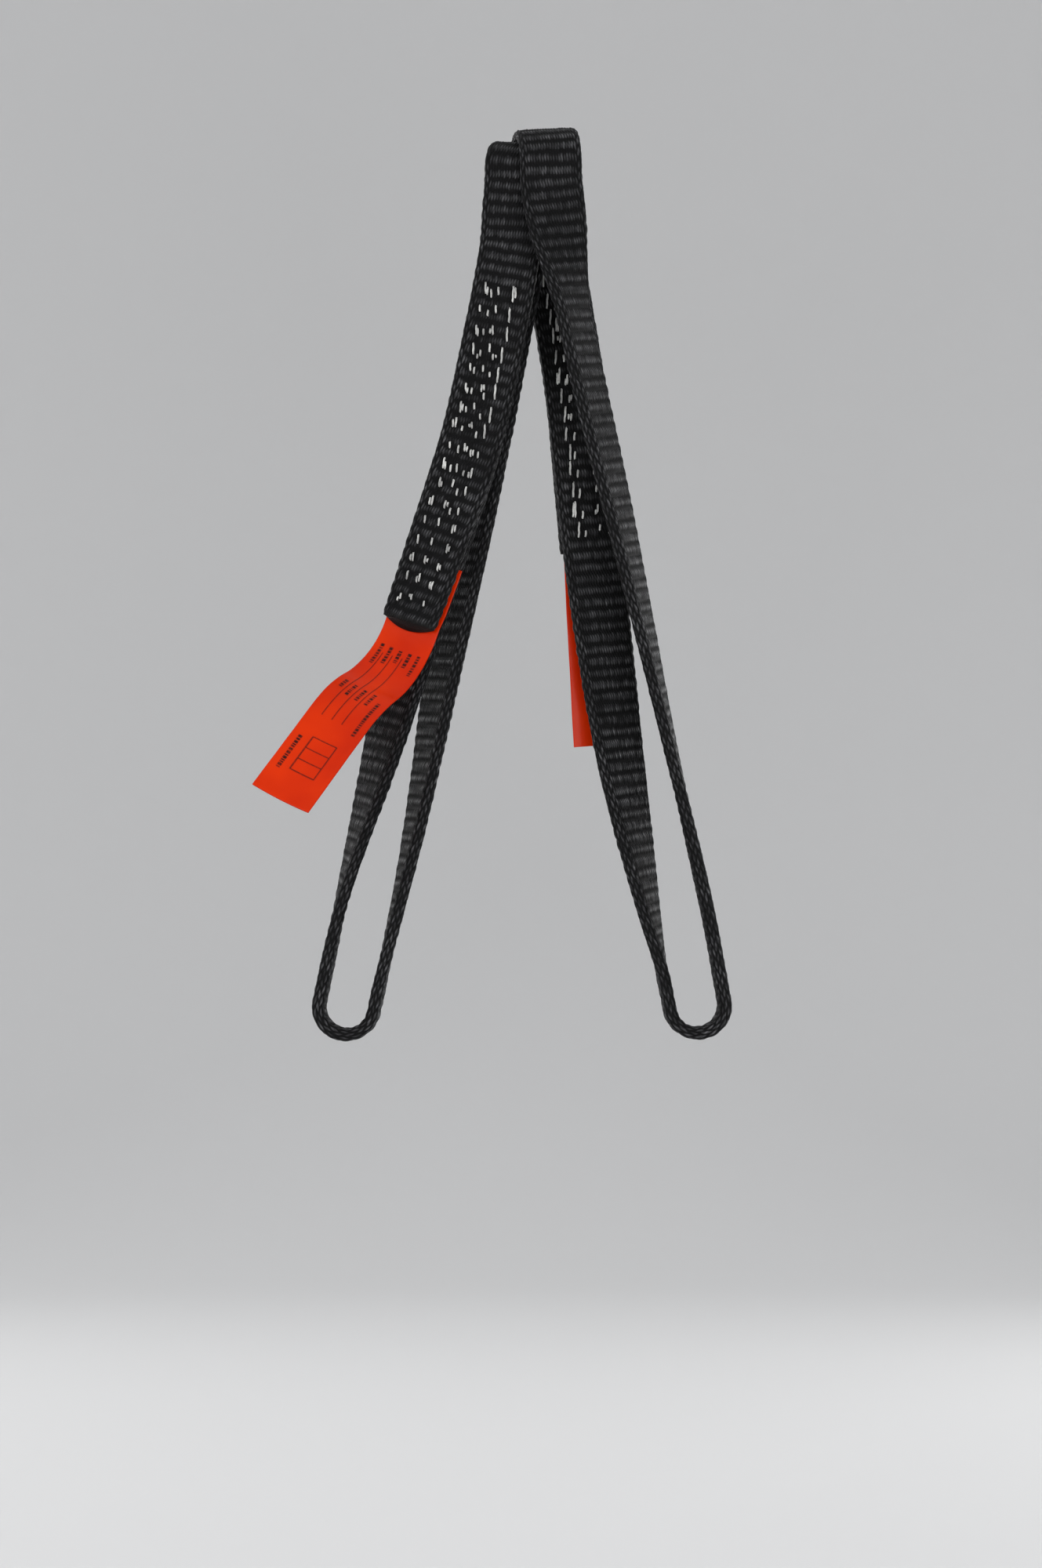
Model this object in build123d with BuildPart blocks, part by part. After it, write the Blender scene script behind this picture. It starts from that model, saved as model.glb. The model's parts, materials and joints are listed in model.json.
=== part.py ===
"""A pair of endless flat web slings, hung side by side from one hook.

Each sling is one length of woven webbing whose two ends lap in a sewn splice, so it forms a closed loop.
The loop passes over a round hook (axis X) at the top and round a shackle (axis Y) at the bottom, so each of
its two legs makes a quarter twist on the way down. A flat tag is sewn between the plies of the splice.

Frame: millimetres, +Z up, +X to the right, +Y to the rear. The origin is on the axis of the hook's seat.
"""

import os
from math import atan2, cos, degrees, pi, radians, sin, tan

from build123d import *

# Webbing
BAND_WIDTH = 25.4
BAND_THICKNESS = 5.0
PLY_GAP = 0.3

# Hook seat: the left sling lies on the hook, and the right sling lies over the left one
HOOK_RADIUS = 10.0
OUTER_SEAT_RADIUS = HOOK_RADIUS + BAND_THICKNESS + PLY_GAP
SEAT_OFFSET = 5.0

# Lower eyes, each round a shackle's crown
EYE_RADIUS = 8.7
EYE_CENTRE_RADIUS = EYE_RADIUS + BAND_THICKNESS / 2
LEFT_EYE = (-76.4, -340.0)
RIGHT_EYE = (65.9, -339.4)

# The legs swing sideways below the hook on a disc-shaped bend in the webbing
SWING_DROP = 16.0
SWING_DISC = 14.2
SWING_GAP = 0.35

# The lower part of each sling turns about the leg's own line, below this share of the drop. Each run of
# webbing is made a little past the turning plane and then cut back to it
TURN_SHARE = 0.68
TURN_GAP = 0.4
TURN_LAP = 0.08

# Splice: plies, thread rows and tag
STITCH_PITCH = 7.0
STITCH_LENGTH = 3.3
STITCH_WIDTH = 0.9
STITCH_PROUD = 0.35
ROW_MARGIN = 5.0
TAG_WIDTH = 25.4
TAG_THICKNESS = 0.8
TAG_TAB = {"left": 25.0, "right": 50.0}
TAG_START_GAP = 0.5
TAG_LIFT = 1.0
TAG_SECTIONS = 18
TAG_TURN_LENGTH = 60.0

SECTIONS_PER_LEG = 32
CUT_SIZE = 120.0


def smooth(start, end, share):
    """Blend from 0 to 1 between two shares of the drop, level at both ends."""
    u = min(max((share - start) / (end - start), 0), 1)
    return u * u * (3 - 2 * u)


def ramp(start, end, share):
    """Straight ramp from 0 to 1 between two shares of the drop."""
    return min(max((share - start) / (end - start), 0), 1)


# The twist of each leg in degrees, turning the band's width from X at the hook to Y at the eye
def left_front_twist(share):
    return -90 * sin(pi / 2 * ramp(0.15, 0.96, share) ** 2.3)


def left_rear_twist(share):
    return -90 * (1 - (1 - ramp(0.05, 0.97, share)) ** 1.15)


def right_front_twist(share):
    return 60 * smooth(0.0, 0.18, share) + 30 * smooth(0.2, 0.9, share)


def right_rear_twist(share):
    return 90 * ramp(0.2, 0.96, share) ** 1.8


class Sling:
    """One sling's seat, eye and lean."""

    def __init__(self, name, side, seat_radius, eye):
        self.name = name
        self.side = side
        self.seat_radius = seat_radius
        self.seat_x = side * SEAT_OFFSET
        self.eye = Vector(eye[0], 0, eye[1])
        self.lean = atan2(abs(eye[0] - self.seat_x), -eye[1])
        self.down = Vector(side * sin(self.lean), 0, -cos(self.lean))
        self.across = Vector(cos(self.lean), 0, side * sin(self.lean))
        self.half_eye = self.across * EYE_CENTRE_RADIUS

    def seat_y(self):
        return self.seat_radius + BAND_THICKNESS / 2


class Leg:
    """A run of webbing from the hook to the eye. Its line passes through a few (x, y, z) stations."""

    def __init__(self, sling, rear, stations, twist, spliced):
        self.sling = sling
        self.name = f"{sling.name}_{'rear' if rear else 'front'}"
        self.rear = rear
        self.twist = twist
        self.inner_offset = -BAND_THICKNESS if spliced else 0.0
        top = (sling.seat_x, sling.seat_y() * (1 if rear else -1), 0.0)
        eye_side = 1 if rear == (sling.side < 0) else -1
        outward = sling.across * eye_side
        end = sling.eye + sling.half_eye * eye_side - outward * self.inner_offset
        self.stations = [top, *stations, (end.X, end.Y, end.Z)]

    def point(self, share):
        """A point on the leg's line, by cubic Hermite between stations, vertical at the hook."""
        z = self.stations[-1][2] * share
        last = len(self.stations) - 1
        index = next((i for i in range(last) if z >= self.stations[i + 1][2]), last - 1)
        ends = [(0.0, 0.0), (-self.sling.side * tan(self.sling.lean), 0.0)]
        low, high = self.stations[index], self.stations[index + 1]
        height = high[2] - low[2]
        u = (z - low[2]) / height
        place = []
        for axis in (0, 1):
            slopes = []
            for i in (index, index + 1):
                if i in (0, last):
                    slopes.append(ends[i == last][axis])
                else:
                    before, after = self.stations[i - 1], self.stations[i + 1]
                    slopes.append((after[axis] - before[axis]) / (after[2] - before[2]))
            place.append(
                (2 * u**3 - 3 * u**2 + 1) * low[axis]
                + (u**3 - 2 * u**2 + u) * height * slopes[0]
                + (3 * u**2 - 2 * u**3) * high[axis]
                + (u**3 - u**2) * height * slopes[1]
            )
        return Vector(place[0], place[1], z)

    def plane(self, share):
        """The band's section plane: X across the band, Z down the leg."""
        step = 1e-4
        before, after = self.point(max(share - step, 0)), self.point(min(share + step, 1))
        down = (after - before).normalized()
        if share <= 0:
            down = Vector(0, 0, -1)
        if share >= 1:
            down = self.sling.down
        angle = radians(self.twist(share))
        level = Vector(cos(angle), sin(angle), 0)
        width = (level - down * level.dot(down)).normalized()
        return Plane(origin=self.point(share), x_dir=width, z_dir=down)

    def outward(self, share):
        """The band's outward side, away from the middle of the loop."""
        return self.plane(share).y_dir * (-1 if self.rear else 1)

    def sections(self, start, end, offset=0.0, width=BAND_WIDTH, thickness=BAND_THICKNESS):
        """Rectangles along the leg, set out from its line by an offset."""
        count = max(round(SECTIONS_PER_LEG * (end - start)), 2)
        faces = []
        for i in range(count + 1):
            share = start + (end - start) * i / count
            with BuildSketch(self.plane(share)) as section:
                with Locations((0, offset * (-1 if self.rear else 1))):
                    Rectangle(width, thickness)
            faces.append(section.sketch)
        return faces

    def share_at(self, z):
        return z / self.stations[-1][2]


LEFT = Sling("left", -1, HOOK_RADIUS, LEFT_EYE)
RIGHT = Sling("right", 1, OUTER_SEAT_RADIUS, RIGHT_EYE)

LEFT_FRONT = Leg(
    LEFT,
    False,
    [
        (-8.2, -11.9, -20.0),
        (-11.8, -11.4, -42.0),
        (-16.0, -11.0, -64.0),
        (-26.2, -10.0, -110.0),
        (-40.6, -8.6, -154.0),
        (-52.8, -6.8, -190.0),
        (-67.6, -4.2, -240.0),
        (-82.0, -1.9, -290.0),
    ],
    left_front_twist,
    True,
)
LEFT_REAR = Leg(
    LEFT,
    True,
    [
        (-5.6, 11.6, -7.0),
        (-6.4, 9.6, -22.0),
        (-14.2, 8.8, -67.0),
        (-25.9, 7.6, -136.0),
        (-37.9, 5.4, -204.0),
        (-50.0, 2.8, -272.0),
    ],
    left_rear_twist,
    False,
)
RIGHT_FRONT = Leg(
    RIGHT,
    False,
    [
        (9.3, -17.6, -25.0),
        (18.6, -15.0, -72.0),
        (35.6, -10.8, -146.0),
        (55.2, -5.7, -235.0),
        (70.0, -2.0, -300.0),
    ],
    right_front_twist,
    False,
)
RIGHT_REAR = Leg(
    RIGHT,
    True,
    [
        (7.0, 21.3, -20.0),
        (10.6, 20.0, -45.0),
        (17.0, 15.9, -87.0),
        (21.4, 11.8, -136.0),
        (26.6, 8.2, -193.0),
        (32.4, 5.1, -245.0),
        (41.4, 2.2, -300.0),
    ],
    right_rear_twist,
    True,
)

# Each splice: the leg it is on, the height where it starts and the height where it ends
SPLICES = {
    "left": (LEFT_FRONT, -38.0, -184.0),
    "right": (RIGHT_REAR, -20.0, -153.0),
}

# Where the thread rows lie across each splice, from the middle of the band
ROW_PLACES = {
    "left": (-7.1, -4.2, -1.3, 1.6, 5.0),
    "right": (-5.9, -3.0, -0.6, 3.7, 7.4),
}

# Each tag's bends past the splice: (radius, degrees, outward if positive), then a straight end. It also turns
# a little about its own length
TAG_BENDS = {
    "left": ([(35.0, 58.5), (58.0, -22.5)], 46.0),
    "right": ([(50.0, 8.0)], 72.5),
}
TAG_TURNS = {"left": -17.0, "right": 0.0}

pieces = []


def keep(builder, name):
    builder.part.label = name
    pieces.append(builder.part)


def swing_centre(sling):
    """The point that the legs swing about, in the middle of the band below the hook."""
    legs = [leg for leg in (LEFT_FRONT, LEFT_REAR, RIGHT_FRONT, RIGHT_REAR) if leg.sling is sling]
    middle = sum(leg.point(leg.share_at(-SWING_DROP)).X for leg in legs) / len(legs)
    return Vector(middle, 0, -SWING_DROP)


def turn_plane(sling):
    """The plane across the leg, where the sling's lower part starts to turn. Its Z points up the leg."""
    top = Vector(sling.seat_x, 0, 0)
    return Plane(
        origin=top + (sling.eye - top) * TURN_SHARE,
        x_dir=sling.across,
        z_dir=sling.down * -1,
    )


def hook_bight(sling, front, rear):
    """The half turn over the hook, with the two stubs of webbing that hang from it."""
    with BuildPart() as bight:
        with BuildSketch(Plane.YZ.offset(sling.seat_x)):
            Circle(sling.seat_radius + BAND_THICKNESS)
            Circle(sling.seat_radius, mode=Mode.SUBTRACT)
            Rectangle(CUT_SIZE, CUT_SIZE, align=(Align.CENTER, Align.MAX), mode=Mode.SUBTRACT)
        extrude(amount=BAND_WIDTH / 2, both=True)
        for leg in (front, rear):
            loft(sections=leg.sections(0, leg.share_at(-SWING_DROP)))
        centre = swing_centre(sling)
        with BuildSketch(Plane.XZ):
            with Locations((centre.X, centre.Z)):
                Circle(SWING_DISC + SWING_GAP)
                Rectangle(CUT_SIZE, CUT_SIZE, align=(Align.CENTER, Align.MAX))
        extrude(amount=CUT_SIZE / 2, both=True, mode=Mode.SUBTRACT)
    keep(bight, f"{sling.name}_hook_bight")


def upper_run(name, leg, start, end, offset=0.0):
    """Webbing between the swing disc and the turning plane."""
    sling = leg.sling
    centre = swing_centre(sling)
    with BuildPart() as run:
        loft(sections=leg.sections(start, end, offset))
        if start == 0:
            with BuildSketch(Plane.XZ):
                with Locations((centre.X, centre.Z)):
                    Rectangle(CUT_SIZE, CUT_SIZE, align=(Align.CENTER, Align.MIN))
                    Circle(SWING_DISC, mode=Mode.SUBTRACT)
            extrude(amount=CUT_SIZE / 2, both=True, mode=Mode.SUBTRACT)
        if end > TURN_SHARE:
            split(bisect_by=turn_plane(sling).offset(TURN_GAP / 2), keep=Keep.TOP)
    keep(run, f"{leg.name}_{name}")


def lower_run(name, leg):
    """Webbing between the turning plane and the eye."""
    sling = leg.sling
    with BuildPart() as run:
        loft(sections=leg.sections(TURN_SHARE - TURN_LAP, 1, leg.inner_offset))
        split(bisect_by=turn_plane(sling).offset(-TURN_GAP / 2), keep=Keep.BOTTOM)
    keep(run, f"{leg.name}_{name}")


def eye_bight(sling):
    """The half turn under the shackle's crown."""
    across_section = Plane(origin=sling.eye, x_dir=sling.across, z_dir=(0, -1, 0))
    with BuildPart() as bight:
        with BuildSketch(across_section):
            Circle(EYE_RADIUS + BAND_THICKNESS)
            Circle(EYE_RADIUS, mode=Mode.SUBTRACT)
            Rectangle(CUT_SIZE, CUT_SIZE, align=(Align.CENTER, Align.MIN), mode=Mode.SUBTRACT)
        extrude(amount=BAND_WIDTH / 2, both=True)
    keep(bight, f"{sling.name}_eye_bight")


def stitch_row(name, leg, across, top, bottom):
    """One row of lock stitches through both plies, standing a little proud of each outer face."""
    drop = leg.point(leg.share_at(bottom)) - leg.point(leg.share_at(top))
    count = int((drop.length - 2 * ROW_MARGIN) // STITCH_PITCH)
    shares = [leg.share_at(top), leg.share_at(bottom)]
    with BuildPart() as thread:
        for i in range(count):
            place = (ROW_MARGIN + STITCH_PITCH * (i + 0.5)) / drop.length
            share = shares[0] + (shares[1] - shares[0]) * place
            side = -1 if leg.rear else 1
            with Locations(leg.plane(share)):
                with Locations((across, -side * BAND_THICKNESS / 2, 0)):
                    Box(STITCH_WIDTH, 2 * (BAND_THICKNESS + STITCH_PROUD), STITCH_LENGTH)
    keep(thread, name)


def tag_tab(sling, leg, bottom):
    """The end of the tag that is sewn in between the two plies."""
    tab_share = TAG_TAB[sling.name] / abs(leg.stations[-1][2])
    end = leg.share_at(bottom)
    with BuildPart() as tab:
        loft(
            sections=leg.sections(
                end - tab_share, end, -BAND_THICKNESS / 2, TAG_WIDTH, TAG_THICKNESS
            )
        )
    keep(tab, f"{sling.name}_tag_tab")


def tag_start(leg, bottom):
    """The plane at the splice's end that the free tag leaves from: X down the leg, Y outward."""
    share = leg.share_at(bottom)
    section = leg.plane(share)
    outward = leg.outward(share)
    origin = section.origin - outward * (BAND_THICKNESS / 2 - TAG_LIFT) + section.z_dir * TAG_START_GAP
    return Plane(origin=origin, x_dir=section.z_dir, z_dir=section.z_dir.cross(outward))


def free_tag(sling, leg, bottom):
    """The free part of the tag, a flat sheet bent into a few arcs."""
    start = tag_start(leg, bottom)
    bends, tail = TAG_BENDS[sling.name]
    runs = [(radians(abs(turn)) * radius, radians(turn)) for radius, turn in bends] + [(tail, 0.0)]
    sections = []
    place, heading, travelled = Vector(0, 0, 0), 0.0, 0.0
    for length, turn in runs:
        steps = max(round(TAG_SECTIONS * length / sum(run for run, _ in runs)), 2)
        for i in range(steps + 1):
            if i:
                middle = heading + turn / steps / 2
                place += Vector(cos(middle), sin(middle), 0) * (length / steps)
                heading += turn / steps
                travelled += length / steps
            elif sections:
                continue
            along = start.x_dir * cos(heading) + start.y_dir * sin(heading)
            face = along.cross(start.z_dir)
            turned = radians(TAG_TURNS[sling.name]) * smooth(0, TAG_TURN_LENGTH, travelled)
            width = start.z_dir * cos(turned) + face * sin(turned)
            origin = start.origin + start.x_dir * place.X + start.y_dir * place.Y
            with BuildSketch(Plane(origin=origin, x_dir=width, z_dir=along)) as section:
                Rectangle(TAG_WIDTH, TAG_THICKNESS)
            sections.append(section.sketch)
    with BuildPart() as tag:
        loft(sections=sections)
    keep(tag, f"{sling.name}_tag")


for sling, front, rear in ((LEFT, LEFT_FRONT, LEFT_REAR), (RIGHT, RIGHT_FRONT, RIGHT_REAR)):
    spliced, top, bottom = SPLICES[sling.name]
    plain = front if spliced is rear else rear
    splice_start, splice_end = spliced.share_at(top), spliced.share_at(bottom)
    hook_bight(sling, front, rear)
    upper_run("outer_ply", spliced, 0, splice_end)
    upper_run("inner_ply", spliced, splice_start, splice_end, spliced.inner_offset)
    upper_run("middle_leg", spliced, splice_end, TURN_SHARE + TURN_LAP, spliced.inner_offset)
    upper_run("upper_leg", plain, 0, TURN_SHARE / 2)
    upper_run("middle_leg", plain, TURN_SHARE / 2, TURN_SHARE + TURN_LAP)
    for leg in (spliced, plain):
        lower_run("lower_leg", leg)
    eye_bight(sling)
    for row, across in enumerate(ROW_PLACES[sling.name], start=1):
        stitch_row(f"{sling.name}_stitch_row_{row}", spliced, across, top, bottom)
    tag_tab(sling, spliced, bottom)
    free_tag(sling, spliced, bottom)

os.makedirs("parts", exist_ok=True)
for piece in pieces:
    export_step(piece, f"parts/{piece.label}.step")

# Places that a drawing of the assembly would state
for sling in (LEFT, RIGHT):
    spliced, top, bottom = SPLICES[sling.name]
    start = tag_start(spliced, bottom)
    print(sling.name, "swing centre", swing_centre(sling))
    print(sling.name, "eye", sling.eye, "up the leg", sling.down * -1, "lean", degrees(sling.lean))
    print(sling.name, "tag hinge", start.origin, "axis", start.z_dir)
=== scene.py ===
"""Looks for a pair of endless flat web slings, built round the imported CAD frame.

Each sling is one length of woven webbing. Its line is worked out once, from the outer end of the
splice up the spliced leg, over the hook, down the plain leg, round the eye, and up the spliced leg
again to the inner end. Every webbing piece is a stretch of that line, so the weave runs on from
piece to piece. The thread and the tag are placed on the same line. Sizes are in millimetres until a
mesh is written, which is in metres.
"""

import json
import math

import bmesh
import bpy
import numpy as np
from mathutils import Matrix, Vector


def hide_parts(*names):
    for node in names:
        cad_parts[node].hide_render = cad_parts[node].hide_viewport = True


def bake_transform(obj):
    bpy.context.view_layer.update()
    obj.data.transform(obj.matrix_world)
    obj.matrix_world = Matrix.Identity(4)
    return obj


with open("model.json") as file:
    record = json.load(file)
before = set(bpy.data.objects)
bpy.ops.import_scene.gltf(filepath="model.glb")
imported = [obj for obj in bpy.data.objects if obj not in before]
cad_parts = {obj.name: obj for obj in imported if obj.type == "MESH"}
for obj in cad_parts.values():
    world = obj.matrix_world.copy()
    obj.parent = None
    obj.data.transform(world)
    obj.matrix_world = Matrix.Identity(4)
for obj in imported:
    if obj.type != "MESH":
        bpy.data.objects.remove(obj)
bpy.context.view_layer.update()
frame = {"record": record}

MM = 0.001
MOUNTS = {mount["name"]: mount for mount in frame["record"]["mounts"]}

# Webbing section
BAND_WIDTH = 25.4
BAND_THICKNESS = 5.0
PLY_GAP = 0.3
MESH_HALF_WIDTH = BAND_WIDTH / 2 - 0.35
MESH_HALF_THICKNESS = BAND_THICKNESS / 2 - 0.35
CORNER_RADIUS = 1.7
MIDDLE_SWELL = 0.05

# Weave: ribs across the band, each crossed by fine yarns, with braided grains along both edges
RIB_PITCH = 4.9
RIB_DEPTH = 0.45
YARN_DEPTH = 0.2
YARN_COLUMNS = 17
YARN_SAMPLES = 3
GRAIN_DEPTH = 0.5
GRAIN_WIDTH = 1.2
FACE_GRAINS = 1
EDGE_GRAINS = 5
GRAIN_SAMPLES = 4
RELIEF_BASE = -0.2
RIB_POWER = 1.8
GRAIN_POWER = 2.0
RIB_BOW = 0.05
GRAIN_SLANT = 0.45
GRAIN_SWELL = 0.08
# How far the ribs and the band's width wander, and over what length
RIB_WANDER, RIB_WANDER_LENGTH = 0.4, 23.0
DEPTH_WANDER, DEPTH_WANDER_LENGTH = 0.15, 9.0
WIDTH_WANDER, WIDTH_WANDER_LENGTH = 0.008, 31.0
# Multipliers that pick each yarn's level from the random table
RIB_KEY, COLUMN_KEY, SEED_KEY = 31, 101, 7
YARN_SLANT = 0.35
YARN_SCALE = 29.4
UV_UNIT = 100.0

# Spacing of the rings of a band's mesh, and sample counts of the lines it is made from
STEP = 0.7
SEAT_SAMPLES = 90
EYE_SAMPLES = 70
LAP_SAMPLES = 300
LEG_SAMPLES = 500
SLOPE_SHARE = 1e-3

# Seats
HOOK_RADIUS = MOUNTS["hook_seat"]["dims"]["r_mm"]
EYE_RADIUS = MOUNTS["left_eye"]["dims"]["r_mm"]
SEAT_OFFSET = 5.0
SEAT_BLEND = 32.0

# Shares of the drop: where the webbing's upper piece meets its lower one, and near the eye
SEAM_SHARE = 0.58
TURN_END_SHARE = 0.97

# Cut ends: the outer one curls away from the tag and is sealed with a bevel
SEAL_LENGTH = 2.5
CURL_LENGTH = 18.0
CURL_LIFT = 2.2
BEVEL = 0.75
SEALED_RELIEF = 0.8

# Thread
STITCH_PITCH = 8.2
ROW_MARGIN = 5.0
STRANDS = 3
STRAND_RADIUS = 0.17
STRAND_OFFSET = 0.27
STRAND_TWIST = 11.0
STRAND_SIDES = 8
STRAND_STEPS = 12
STITCH_SLANT = 0.16
STITCH_RISE = 0.25
STITCH_DIVE = 1.0
STITCH_JITTER = 0.45
ROW_JITTER = 0.3
STRAND_FLATNESS = 0.55
STRAND_CELL = 0.3
STRAND_JITTER = 0.06
DIMPLE_DEPTH = 0.5
DIMPLE_LENGTH = 3.0
DIMPLE_WIDTH = 1.6
DIMPLE_REACH = 2.5

# Tag
TAG_WIDTH = 25.4
TAG_THICKNESS = 0.6
TAG_SEWN = {"left": 25.0, "right": 50.0}
TAG_START_GAP = 0.5
TAG_LIFT = 1.0
TAG_SHIFT = {"left": (0.6, 0.3), "right": (1.0, 0.0)}
TAG_TURN_LENGTH = 60.0
TAG_CELL = 0.35
TAG_BLEND = 26.0
TAG_CUP = 0.9
TAG_RIPPLE, TAG_RIPPLE_LENGTH = 0.35, 17.0
TAG_LIFT_LENGTH = 8.0
TAG_SEWN_SAMPLES = 60
TAG_FREE_SAMPLES = 400

# Printing, in millimetres down a tag from the splice and across from its middle
RULES = (-7.0, -2.4, 2.2)
RULE_SPAN = (17.0, 63.0)
RULE_HALF = 0.2
# Rows of dashes: top, bottom, middle, height
DASH_ROWS = (
    (13.0, 24.0, -9.0, 1.7),
    (13.5, 22.0, -4.7, 1.7),
    (14.0, 20.0, 0.0, 1.7),
    (14.0, 21.0, 4.6, 1.7),
    (41.0, 47.0, -9.2, 1.5),
    (41.0, 49.0, -4.7, 1.5),
    (41.0, 49.0, 0.0, 1.5),
    (41.0, 49.0, 4.6, 1.5),
    (14.0, 24.0, 8.8, 1.5),
    (45.0, 66.0, 8.8, 1.5),
    (76.0, 94.0, -8.8, 1.6),
)
BOX_SIDES = (-4.4, 6.4)
BOX_BARS = (74.0, 80.0, 86.0, 92.0)
BOX_HALF = 0.25
BOX_MARGIN = 0.2

# Colours, in linear RGB
# Painted light: the groove colour is painted shade, and the crown colours are the nylon's own dark
# grey lifted by a painted highlight
SHADED_GROOVE = (0.0008, 0.0008, 0.001, 1)
LIT_CROWNS = (0.03, 0.03, 0.032, 1), (0.06, 0.06, 0.063, 1)
FLECKS = (0.45, 0.45, 0.47, 1), (1.7, 1.7, 1.7, 1)
SEALED = (0.004, 0.0038, 0.0038, 1)
THREADS = (0.26, 0.26, 0.255, 1), (0.66, 0.66, 0.64, 1)
VINYLS = (0.47, 0.016, 0.0, 1), (0.57, 0.026, 0.0, 1)
INK = (0.022, 0.006, 0.004, 1)
COVE_COLOUR = (0.68, 0.68, 0.68)
AIR_COLOUR = (0.97, 0.98, 1.0, 1)

# Camera: 1.36 m away, a little below the middle and tilted up
CAMERA_AT = (-5.6, -1362.0, -313.7)
CAMERA_TILT = math.radians(2.707)
FOCAL_LENGTH = 76.732
SENSOR = 36.0
CLIP_END = 20

# Studio: the cove's sizes in millimetres, and each light's name, place and target in metres, power
# and size
COVE_FLOOR, COVE_RADIUS, COVE_BEND, COVE_TOP = -620.0, 2700.0, 1100.0, 2100.0
COVE_SIDES = 96
COVE_BEND_SAMPLES = 24
MIDDLE, LOW = (0, 0, -0.15), (0, 0, -0.3)
LIGHTS = (
    ("key_front_left", (-0.9, -1.15, 0.3), MIDDLE, 9, 0.6),
    ("low_front", (0.45, -1.3, -0.42), LOW, 13, 0.8),
    ("back_left", (-1.1, 1.1, 0.3), MIDDLE, 8, 0.8),
    ("back_right", (1.2, 1.0, 0.0), MIDDLE, 10, 0.8),
)
AIR_STRENGTH = 0.8

random = np.random.default_rng(7)


# ---------------------------------------------------------------- lines of the webbing


def smooth(start, end, value):
    """Blend from 0 to 1 between two values, level at both ends."""
    u = np.clip((np.asarray(value, float) - start) / (end - start), 0, 1)
    return u * u * (3 - 2 * u)


def ramp(start, end, value):
    """Straight ramp from 0 to 1 between two shares of the drop."""
    return np.clip((np.asarray(value, float) - start) / (end - start), 0, 1)


def unit(vectors):
    return vectors / np.linalg.norm(vectors, axis=-1, keepdims=True)


def square_to(vectors, along):
    """Unit vectors with their part along another direction taken out."""
    return unit(vectors - along * (vectors * along).sum(1)[:, None])


def run_of(places):
    """The length along a line at each of its points."""
    return np.concatenate([[0], np.cumsum(np.linalg.norm(np.diff(places, axis=0), axis=1))])


def read_at(at, lengths, values):
    """Three-part values, known at some lengths, read at others."""
    return np.column_stack([np.interp(at, lengths, values[:, i]) for i in range(3)])


class Sling:
    """One sling's seat, eye and lean. Its band lies a little askew on the hook."""

    def __init__(self, name, side, seat_radius, skew, shift, roll):
        self.name = name
        self.side = side
        self.ring_radius = seat_radius + BAND_THICKNESS / 2
        self.seat_x = side * SEAT_OFFSET
        self.skew = skew
        self.shift = shift
        self.roll = roll
        self.eye = np.array(MOUNTS[f"{name}_eye"]["pos_m"]) / MM
        self.lean = math.atan2(abs(self.eye[0] - self.seat_x), -self.eye[2])
        self.down = np.array([side * math.sin(self.lean), 0, -math.cos(self.lean)])
        self.across = np.array([math.cos(self.lean), 0, side * math.sin(self.lean)])

    def seat_line(self, side):
        """Half a turn over the hook, from one side of it to the other."""
        turn = np.linspace(0, math.pi, SEAT_SAMPLES)
        y, z = side * np.cos(turn), np.sin(turn)
        x = self.seat_x + self.shift + self.skew * y
        roll = math.radians(self.roll) * z
        places = np.column_stack([x, self.ring_radius * y, self.ring_radius * z])
        return places, np.column_stack([np.cos(roll), 0 * roll, np.sin(roll)])

    def eye_line(self, side):
        """Half a turn under the shackle's crown, from one side of the eye to the other."""
        turn = np.linspace(0, math.pi, EYE_SAMPLES)[:, None]
        radius = EYE_RADIUS + BAND_THICKNESS / 2
        places = self.eye + radius * (self.across * side * np.cos(turn) + self.down * np.sin(turn))
        return places, np.tile([0.0, self.side, 0], (len(turn), 1))


class Leg:
    """A run of webbing from the hook to the eye, through a few (x, y, z) stations."""

    def __init__(self, sling, rear, stations, twist, spliced):
        self.sling = sling
        self.side = 1 if rear else -1
        self.twist = twist
        self.inner_offset = BAND_THICKNESS if spliced else 0.0
        top = [sling.seat_x, sling.ring_radius * self.side, 0.0]
        self.eye_side = 1 if rear == (sling.side < 0) else -1
        reach = EYE_RADIUS + BAND_THICKNESS / 2 + self.inner_offset
        end = sling.eye + sling.across * self.eye_side * reach
        self.stations = np.array([top, *stations, end], float)

    def share_at(self, z):
        return z / self.stations[-1][2]

    def points(self, shares):
        """Points on the leg's line, by cubic Hermite between stations, vertical at the hook."""
        drops = -self.stations[:, 2]
        places = self.stations[:, :2]
        slopes = np.zeros_like(places)
        slopes[1:-1] = (places[2:] - places[:-2]) / (drops[2:] - drops[:-2])[:, None]
        slopes[-1, 0] = self.sling.side * math.tan(self.sling.lean)
        drop = shares * drops[-1]
        i = np.clip(np.searchsorted(drops, drop, side="right") - 1, 0, len(drops) - 2)
        height = (drops[i + 1] - drops[i])[:, None]
        u = (drop - drops[i])[:, None] / height
        level = (
            (2 * u**3 - 3 * u**2 + 1) * places[i]
            + (u**3 - 2 * u**2 + u) * height * slopes[i]
            + (3 * u**2 - 2 * u**3) * places[i + 1]
            + (u**3 - u**2) * height * slopes[i + 1]
        )
        askew = self.sling.shift + self.sling.skew * self.side
        level[:, 0] += askew * (1 - smooth(0, SEAT_BLEND, drop))
        return np.column_stack([level, -drop])

    def line(self, shares, inset=0.0):
        """Positions and width directions along the leg, set in towards the middle of the loop."""
        places = self.points(shares)
        after = self.points(np.minimum(shares + SLOPE_SHARE, 1))
        before = self.points(np.maximum(shares - SLOPE_SHARE, 0))
        down = unit(after - before)
        angle = np.radians(self.twist(shares))
        level = np.column_stack([np.cos(angle), np.sin(angle), np.zeros_like(angle)])
        width = square_to(level, down)
        outward = np.cross(down, width) * -self.side
        return places - outward * inset, width


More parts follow.
